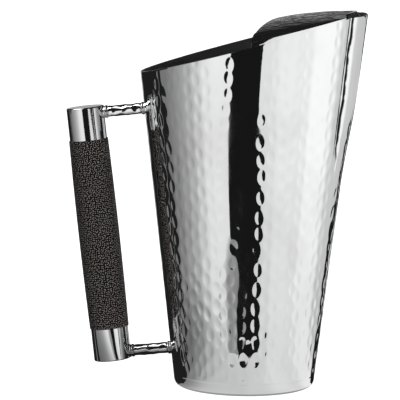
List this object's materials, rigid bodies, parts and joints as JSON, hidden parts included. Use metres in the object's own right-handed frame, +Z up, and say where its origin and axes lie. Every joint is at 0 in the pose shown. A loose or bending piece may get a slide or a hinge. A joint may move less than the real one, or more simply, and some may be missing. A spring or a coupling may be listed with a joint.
{
  "type": "pitcher",
  "caption": "Tall tapered hammered steel pitcher with a slanted rim, a pouring lip, a domed ice hood over the front of the mouth, and a straight tube handle with a leather wrapped grip.",
  "frame": {"origin": "centre of the flat underside of the base, on the axis of the body", "axes": "+Z up along the axis of the body, +X towards the pouring lip, the handle on the -X side, mirror symmetric about the XZ plane"},
  "size_m": [0.2038, 0.1494, 0.2539],
  "materials": {
    "hammered_steel": "hammered stainless steel sheet, mirror polished",
    "hood_steel": "hammered stainless steel sheet, polished",
    "base_steel": "plain stainless steel sheet, polished",
    "strut_steel": "hammered round bar, polished",
    "handle_steel": "stainless steel tube, mirror polished",
    "weld_metal": "weld beads, lightly dressed",
    "grip_leather": "very dark brown pebbled leather, matt"
  },
  "bodies": {
    "root": {"base_pan": "base_steel", "base_seam": "weld_metal", "body_shell": "hammered_steel", "hood": "hood_steel", "lower_strut": "strut_steel", "lower_tube_weld": "weld_metal", "lower_wall_weld": "weld_metal", "upper_strut": "strut_steel", "upper_tube_weld": "weld_metal", "upper_wall_weld": "weld_metal", "handle_tube": "handle_steel", "tube_bottom_cap": "handle_steel", "tube_top_cap": "handle_steel", "grip_wrap": "grip_leather"}
  },
  "joints": []
}
